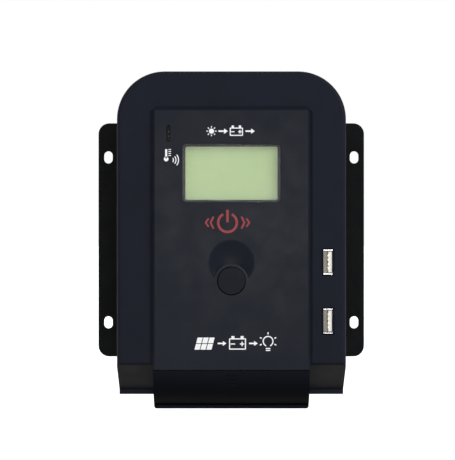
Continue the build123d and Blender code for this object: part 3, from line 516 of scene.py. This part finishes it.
def arrow(start, length, head, line):
    """An arrow to the right."""
    x, z = start
    neck = x + length - head
    barb = head * 0.7
    return [(x, z - line / 2), (neck, z - line / 2), (neck, z - barb), (x + length, z),
            (neck, z + barb), (neck, z + line / 2), (x, z + line / 2)]


def sun_mark(centre, radius, line):
    """A disc with eight rays."""
    rays = 8
    loops = [round_loop(radius, centre, 28)]
    for i in range(rays):
        turn = math.radians(360 / rays * i)
        near, far = radius + 0.5 * MM, radius + 1.35 * MM
        loops.append(stroke(
            (centre[0] + near * math.cos(turn), centre[1] + near * math.sin(turn)),
            (centre[0] + far * math.cos(turn), centre[1] + far * math.sin(turn)), line))
    return loops


def battery_mark(centre, width, height, line):
    """A battery with its two posts, a minus and a plus."""
    x, z = centre
    loops = frame_loops(width, height, 0.4 * MM, line, centre)
    arm = 0.13 * width
    for side in (-1, 1):
        post = (x + side * width * 0.27, z + height / 2 + line)
        loops.append(rounded_loop(width * 0.18, 2 * line, 0.1 * MM, post, 2))
        loops.append(stroke((post[0] - arm, z), (post[0] + arm, z), line))
        if side == 1:
            loops.append(stroke((post[0], z + line / 2), (post[0], z + arm), line))
            loops.append(stroke((post[0], z - line / 2), (post[0], z - arm), line))
    return loops


def print_marks(name, loops, ink):
    """Prints loops on the panel."""
    mark = cut_sheet(name, loops, panel_depth - ink_sunk, panel_depth + ink_thickness)
    dress(mark, ink)
    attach(mark, "case")


white_ink = printed_ink("white_ink", (0.80, 0.81, 0.82), (0.55, 0.56, 0.58))
red_ink = printed_ink("red_ink", (0.235, 0.018, 0.024), (0.13, 0.012, 0.016))

heading_z = 57.9 * MM
heading = sun_mark((-10.6 * MM, heading_z), 1.35 * MM, 0.5 * MM)
heading.append(arrow((-6.9 * MM, heading_z), 5.0 * MM, 2.0 * MM, 0.8 * MM))
heading += battery_mark((2.6 * MM, heading_z - 0.3 * MM), 7.0 * MM, 4.4 * MM, 0.55 * MM)
heading.append(arrow((7.4 * MM, heading_z), 5.0 * MM, 2.0 * MM, 0.8 * MM))
print_marks("heading_print", heading, white_ink)

bulb_x, bulb_z = -34.6 * MM, 43.1 * MM
thermometer = [arc_band(1.25 * MM, 1.24 * MM, (bulb_x, bulb_z), 118, 422),
               stroke((bulb_x, 44.4 * MM), (bulb_x, 48.3 * MM), 1.1 * MM)]
first_tick, tick_pitch, tick_count = 45.0, 1.05, 4
for i in range(tick_count):
    tick_z = (first_tick + tick_pitch * i) * MM
    thermometer.append(stroke((bulb_x + 1.2 * MM, tick_z), (bulb_x + 2.6 * MM, tick_z), 0.4 * MM))
first_wave_r, wave_pitch, wave_count = 1.9, 1.35, 3
wave_centre = (bulb_x + 2.2 * MM, 42.6 * MM)
for i in range(wave_count):
    thermometer.append(arc_band((first_wave_r + wave_pitch * i) * MM, 0.5 * MM, wave_centre,
                                -40, 40))
print_marks("sensor_print", thermometer, white_ink)

power_x, power_z = -2.1 * MM, 9.4 * MM
power_mark = [arc_band(5.6 * MM, 1.3 * MM, (power_x, power_z), 118, 422),
              stroke((power_x, 9.6 * MM), (power_x, 16.2 * MM), 1.3 * MM)]
for side in (-1, 1):
    for step, half in ((0, 3.2 * MM), (1, 2.2 * MM)):
        root = power_x + side * (6.9 + 2.6 * step) * MM
        near, far = side * 1.1 * MM, side * 1.5 * MM
        power_mark.append([
            (root, power_z + half), (root + near, power_z + half), (root + far + near, power_z),
            (root + near, power_z - half), (root, power_z - half), (root + far, power_z)])
print_marks("power_print", power_mark, red_ink)

footer_z = -54.6 * MM
footer = []
cells_left, cells_low = -19.6, -3.3
cell_pitch, row_pitch, row_shift = 3.15, 3.4, 0.9
cell_width, cell_height, cell_lean = 2.7 * MM, 3.0 * MM, 0.8 * MM
for row in range(2):
    for column in range(3):
        x = (cells_left + cell_pitch * column + row_shift * row) * MM
        z = footer_z + (cells_low + row_pitch * row) * MM
        footer.append([(x, z), (x + cell_width, z),
                       (x + cell_width + cell_lean, z + cell_height),
                       (x + cell_lean, z + cell_height)])
footer.append(arrow((-7.3 * MM, footer_z), 4.6 * MM, 1.9 * MM, 0.8 * MM))
footer += battery_mark((3.2 * MM, footer_z - 0.3 * MM), 9.0 * MM, 6.0 * MM, 0.6 * MM)
footer.append(arrow((9.3 * MM, footer_z), 4.6 * MM, 1.9 * MM, 0.8 * MM))
lamp_x, lamp_z = 19.4 * MM, footer_z + 1.1 * MM
lamp_line = 0.6 * MM
cap_half = 1.2 * MM
glow_near, glow_far = 3.7 * MM, 4.8 * MM
footer.append(arc_band(2.9 * MM, lamp_line, (lamp_x, lamp_z), -66, 246))
for drop in (3.8 * MM, 4.8 * MM):
    footer.append(stroke((lamp_x - cap_half, lamp_z - drop), (lamp_x + cap_half, lamp_z - drop),
                         lamp_line))
for angle in (-25, 25, 90, 155, 205):
    turn = math.radians(angle)
    footer.append(stroke(
        (lamp_x + glow_near * math.cos(turn), lamp_z + glow_near * math.sin(turn)),
        (lamp_x + glow_far * math.cos(turn), lamp_z + glow_far * math.sin(turn)), lamp_line))
print_marks("footer_print", footer, white_ink)

# ---------------------------------------------------------------- Display
# A reflective liquid crystal glass in a black frame, with a clear acrylic pane held in the
# panel's window. Rubber strips and a white diffuser carry it on the display board.
glass_low, glass_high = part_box("display_glass")
display_film = new_finish("display_film", (0.45, 0.58, 0.30), 0.35, specular=0.3)
brushed = grain(display_film, 0.25 * MM, 2.0, (14.0, 1.0, 1.0))
relief(display_film, brushed, 0.004 * MM, 0.4)
film_tone = two_tone(display_film, brushed, (0.440, 0.605, 0.262), (0.470, 0.640, 0.284))
# Painted sheen: the film is paler towards its bottom and darker towards its top, the way the light
# falls across it.
film_painted_sheen = between(display_film, part_place(display_film, "Z"), 0.55, 0.0,
                    glass_low.z, glass_high.z)
feed(display_film, blend_colours(display_film, film_painted_sheen, film_tone, (0.520, 0.680, 0.345)),
     "Base Color")
feed(display_film, between(display_film, grain(display_film, 20 * MM), 0.30, 0.42), "Roughness")
dress(nodes["display_glass"], display_film)

clear_pane = new_finish("clear_acrylic", (0.06, 0.07, 0.07), 0.06)
smears = grain(clear_pane, 6 * MM, 4.0)
relief(clear_pane, smears, 0.004 * MM, 0.3)
feed(clear_pane, between(clear_pane, smears, 0.04, 0.10), "Roughness")
feed(clear_pane, two_tone(clear_pane, smears, (0.05, 0.06, 0.06), (0.08, 0.09, 0.09)),
     "Base Color")
pane_shader = clear_pane.node_tree.nodes["Principled BSDF"]
pane_shader.inputs["Alpha"].default_value = 0.10
pane_shader.inputs["IOR"].default_value = 1.49
dress(nodes["display_window"], clear_pane)


def plain_moulding(name, dark, pale, roughness, size):
    """Small engineering-plastic mouldings: fine grain, slight mottling, soft edges."""
    finish = new_finish(name, pale, roughness)
    fine = grain(finish, size, 3.0)
    relief(finish, fine, size / 12, 0.5)
    feed(finish, two_tone(finish, fine, dark, pale), "Base Color")
    feed(finish, between(finish, grain(finish, 20 * size), roughness - 0.05, roughness + 0.07),
         "Roughness")
    return finish


frame_black = plain_moulding("frame_black", (0.006, 0.006, 0.007), (0.010, 0.010, 0.012), 0.55,
                             0.15 * MM)
dress(nodes["display_frame"], frame_black)
white_moulding = plain_moulding("white_moulding", (0.72, 0.72, 0.69), (0.82, 0.82, 0.80), 0.38,
                                0.20 * MM)
dress(nodes["light_guide"], white_moulding)
dress(nodes["contact_strips"], plain_moulding(
    "strip_rubber", (0.020, 0.020, 0.022), (0.034, 0.034, 0.036), 0.75, 0.10 * MM))

# ---------------------------------------------------------------- Sensor socket
# A small black wafer socket behind the slot in the panel, with two tinned pins, soldered through
# the display board, whose colour is painted shade: near black for the shade deep in the slot.
dress(nodes["sensor_socket"], frame_black)
# Painted shade: the pins are near black, standing in for the dark of the slot.
shaded_tin = new_finish("shaded_tin", (0.10, 0.10, 0.095), 0.55, metallic=1.0)
tin_mottle = grain(shaded_tin, 0.4 * MM, 3.0)
relief(shaded_tin, tin_mottle, 0.006 * MM, 0.5)
feed(shaded_tin, two_tone(shaded_tin, tin_mottle, (0.06, 0.06, 0.055), (0.13, 0.13, 0.12)), "Base Color")
dress(nodes["sensor_pins"], shaded_tin)

# ---------------------------------------------------------------- Button
# A round black cap with a smoother face than the case, dulled by fingers. It stands in a
# collar in the finger dish and presses a tactile switch through a white plunger.
button_abs = moulded_abs("button_abs", (0.0052, 0.0068, 0.0112), 0.46, 0.07)[0]
dress(nodes["button_cap"], button_abs)
dress(nodes["switch_plunger"], white_moulding)
dress(nodes["push_switch"], plain_moulding(
    "switch_black", (0.007, 0.007, 0.008), (0.012, 0.012, 0.013), 0.42, 0.12 * MM))

# ---------------------------------------------------------------- Terminal block
# A black glass-filled nylon block with six cells, each with a copper bar and a plated steel
# cage that its screw draws up to clamp the wire. White numbers above the screws lie hidden
# behind the front cover's lower edge.
dress(nodes["terminal_block"], plain_moulding(
    "filled_nylon", (0.009, 0.009, 0.010), (0.016, 0.016, 0.017), 0.50, 0.22 * MM))

copper = new_finish("bare_copper", (0.72, 0.36, 0.22), 0.32, metallic=1.0)
drawn = grain(copper, 0.15 * MM, 2.0, (1.0, 1.0, 20.0))
tarnish = grain(copper, 3.5 * MM, 4.0)
relief(copper, drawn, 0.006 * MM, 0.5)
feed(copper, two_tone(copper, tarnish, (0.42, 0.19, 0.11), (0.78, 0.42, 0.27)), "Base Color")
feed(copper, between(copper, tarnish, 0.42, 0.24), "Roughness")
dress(nodes["terminal_bars"], copper)

nickel = new_finish("nickel_plate", (0.66, 0.63, 0.57), 0.26, metallic=1.0)
scuffed = grain(nickel, 1.8 * MM, 4.0)
relief(nickel, grain(nickel, 0.10 * MM, 2.0, (5.0, 1.0, 5.0)), 0.006 * MM, 0.5)
feed(nickel, two_tone(nickel, scuffed, (0.55, 0.52, 0.46), (0.72, 0.70, 0.65)), "Base Color")
feed(nickel, between(nickel, scuffed, 0.20, 0.38), "Roughness")
block_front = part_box("terminal_block")[0].y
number_height = 3.4 * MM
number_lift = 3.2 * MM
for number in range(1, 7):
    dress(nodes[f"terminal_screw_{number}"], nickel)
    dress(nodes[f"terminal_cage_{number}"], nickel)
    head_low, head_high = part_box(f"terminal_screw_{number}")
    figure = bpy.data.curves.new(f"terminal_number_{number}", "FONT")
    figure.body = str(number)
    figure.size = number_height
    figure.align_x = "CENTER"
    figure.extrude = ink_thickness / 2
    lettered = bpy.data.objects.new(f"terminal_number_{number}", figure)
    scene.collection.objects.link(lettered)
    figure_mesh = bpy.data.meshes.new_from_object(lettered.evaluated_get(
        bpy.context.evaluated_depsgraph_get()))
    bpy.data.objects.remove(lettered)
    place = ((head_low.x + head_high.x) / 2, block_front - ink_thickness / 4,
             head_high.z + number_lift)
    figure_mesh.transform(Matrix.Translation(place) @ Matrix.Rotation(math.radians(90), 4, "X"))
    number_print = add_piece(f"terminal_number_{number}", figure_mesh)
    dress(number_print, white_ink)
    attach(number_print, "case")

# ---------------------------------------------------------------- USB sockets
# Two upright sockets: a folded nickel-plated shell behind a thin moulded lip that hides its
# flared mouth, and a white tongue with four gold contacts on its left face.
shell_nickel = new_finish("shell_nickel", (0.74, 0.73, 0.70), 0.20, metallic=1.0)
rolled = grain(shell_nickel, 0.14 * MM, 2.0, (1.0, 12.0, 1.0))
relief(shell_nickel, rolled, 0.006 * MM, 0.5)
feed(shell_nickel, between(shell_nickel, rolled, 0.15, 0.30), "Roughness")
feed(shell_nickel, two_tone(shell_nickel, grain(shell_nickel, 2 * MM, 3.0),
                            (0.64, 0.62, 0.58), (0.78, 0.77, 0.75)), "Base Color")
lip_width = 0.72 * MM
lip_front = shoulder_y - 0.35 * MM
lip_overhang = 0.30 * MM
for level in ("upper", "lower"):
    mouth_low, mouth_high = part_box(f"usb_shell_{level}")
    mouth = ((mouth_low.x + mouth_high.x) / 2, (mouth_low.z + mouth_high.z) / 2)
    wide = mouth_high.x - mouth_low.x + lip_overhang
    tall = mouth_high.z - mouth_low.z + lip_overhang
    lip_loops = [rounded_loop(wide, tall, 0.8 * MM, mouth),
                 rounded_loop(wide - 2 * lip_width, tall - 2 * lip_width, 0.3 * MM, mouth)]
    lip = cut_sheet(f"usb_lip_{level}", lip_loops, -mouth_low.y + 0.01 * MM, -lip_front,
                    0.05 * MM)
    # The lips take the terminal cover's darker plastic, the copy with painted shade.
    dress(lip, shaded_lid_abs)
    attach(lip, "case")
    dress(nodes[f"usb_shell_{level}"], shell_nickel)
    dress(nodes[f"usb_tongue_{level}"], white_moulding)
gold = new_finish("gold_flash", (0.80, 0.60, 0.27), 0.28, metallic=1.0)
wiped = grain(gold, 0.30 * MM, 3.0, (1.0, 5.0, 1.0))
relief(gold, wiped, 0.006 * MM, 0.5)
feed(gold, between(gold, wiped, 0.20, 0.38), "Roughness")
feed(gold, two_tone(gold, wiped, (0.70, 0.50, 0.20), (0.86, 0.67, 0.33)), "Base Color")
dress(nodes["usb_contacts"], gold)
dress(nodes["usb_header"], gold)

# ---------------------------------------------------------------- Circuit boards
# Glass-epoxy laminate under green solder mask; the tracks show as paler, slightly raised
# lines. The boards stand on posts and plug into one another.
solder_mask = new_finish("solder_mask", (0.02, 0.13, 0.05), 0.30)
mask_tree = solder_mask.node_tree
board_place = mask_tree.nodes.new("ShaderNodeTexCoord")
lay_flat = mask_tree.nodes.new("ShaderNodeMapping")
lay_flat.inputs["Rotation"].default_value = (math.radians(-90), 0.0, 0.0)
tracks = mask_tree.nodes.new("ShaderNodeTexBrick")
tracks.offset = 0.37
tracks.inputs["Scale"].default_value = 190.0
tracks.inputs["Mortar Size"].default_value = 0.035
tracks.inputs["Color1"].default_value = (0.0, 0.0, 0.0, 1.0)
tracks.inputs["Color2"].default_value = (0.0, 0.0, 0.0, 1.0)
tracks.inputs["Mortar"].default_value = (1.0, 1.0, 1.0, 1.0)
mask_tree.links.new(board_place.outputs["Object"], lay_flat.inputs["Vector"])
mask_tree.links.new(lay_flat.outputs["Vector"], tracks.inputs["Vector"])
relief(solder_mask, tracks.outputs["Color"], 0.03 * MM, 0.6)
mask_tone = two_tone(solder_mask, grain(solder_mask, 8 * MM), (0.012, 0.085, 0.032),
                     (0.018, 0.110, 0.042))
feed(solder_mask, blend_colours(solder_mask, tracks.outputs["Color"], mask_tone,
                                (0.045, 0.210, 0.085)), "Base Color")
feed(solder_mask, between(solder_mask, grain(solder_mask, 5 * MM), 0.24, 0.38), "Roughness")
for name in ("main_board", "display_board", "usb_board"):
    dress(nodes[name], solder_mask)
dress(nodes["board_header"], gold)
dress(nodes["board_socket"], frame_black)

# ---------------------------------------------------------------- Power parts
# What does the work on the main board: capacitors in dark sleeves, glass fuses in clips,
# copper shunts, chips, and transistors screwed to the heat sink through an insulating sheet.
dress(nodes["power_transistors"], plain_moulding(
    "epoxy_black", (0.010, 0.010, 0.011), (0.018, 0.018, 0.019), 0.48, 0.18 * MM))
dress(nodes["driver_chips"], frame_black)
dress(nodes["controller_chip"], frame_black)
dress(nodes["insulating_sheet"], plain_moulding(
    "grey_silicone", (0.16, 0.17, 0.18), (0.23, 0.24, 0.25), 0.7, 0.12 * MM))
dress(nodes["shunts"], copper)
dress(nodes["fuse_clips"], gold)
dress(nodes["fuses"], clear_pane)
dress(nodes["capacitors"], plain_moulding(
    "sleeve_film", (0.010, 0.012, 0.028), (0.016, 0.019, 0.040), 0.28, 0.8 * MM))

# ---------------------------------------------------------------- Choke
# Thick enamelled copper wire, wound by hand round a coated powder ring, the turns touching
# inside the bore and fanned out on the outside. Its ends are soldered in the board.
dress(nodes["choke_core"], plain_moulding(
    "core_coating", (0.05, 0.10, 0.06), (0.10, 0.17, 0.10), 0.55, 0.3 * MM))
wire_r = 0.72 * MM
turns = 26
lap_steps = 24
core_bore_r = 7.2 * MM
wound_angle = math.radians(300)
lap_squareness = 0.55
wind_low, wind_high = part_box("choke_winding")
ring = (wind_low + wind_high) / 2
outer_reach = (wind_high.x - wind_low.x) / 2 - wire_r
inner_reach = core_bore_r + wire_r
half_height = (wind_high.y - wind_low.y) / 2 - wire_r
wire = bpy.data.curves.new("choke_wire", "CURVE")
wire.dimensions = "3D"
wire.bevel_depth = wire_r
wire.bevel_resolution = 4
wound = wire.splines.new("POLY")
wound.points.add(turns * lap_steps - 1)
for i, point in enumerate(wound.points):
    lap = 2 * math.pi * (i % lap_steps) / lap_steps
    around = wound_angle * i / (turns * lap_steps)
    out, up = [math.copysign(abs(part) ** lap_squareness, part)
               for part in (math.cos(lap), math.sin(lap))]
    reach = (outer_reach + inner_reach) / 2 + (outer_reach - inner_reach) / 2 * out
    point.co = (ring.x + reach * math.cos(around), ring.y + half_height * up,
                ring.z + reach * math.sin(around), 1.0)
coil = bpy.data.objects.new("choke_wire", wire)
scene.collection.objects.link(coil)
wire_mesh = bpy.data.meshes.new_from_object(coil.evaluated_get(
    bpy.context.evaluated_depsgraph_get()))
bpy.data.objects.remove(coil)
wire_turns = add_piece("choke_wire", wire_mesh)
enamel = new_finish("wire_enamel", (0.50, 0.16, 0.06), 0.25, metallic=0.85)
enamel_flow = grain(enamel, 1.2 * MM, 3.0)
relief(enamel, enamel_flow, 0.01 * MM, 0.4)
feed(enamel, two_tone(enamel, enamel_flow, (0.40, 0.11, 0.04), (0.56, 0.20, 0.08)), "Base Color")
feed(enamel, between(enamel, enamel_flow, 0.20, 0.34), "Roughness")
dress(wire_turns, enamel)
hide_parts("choke_winding")
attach(wire_turns, "case")
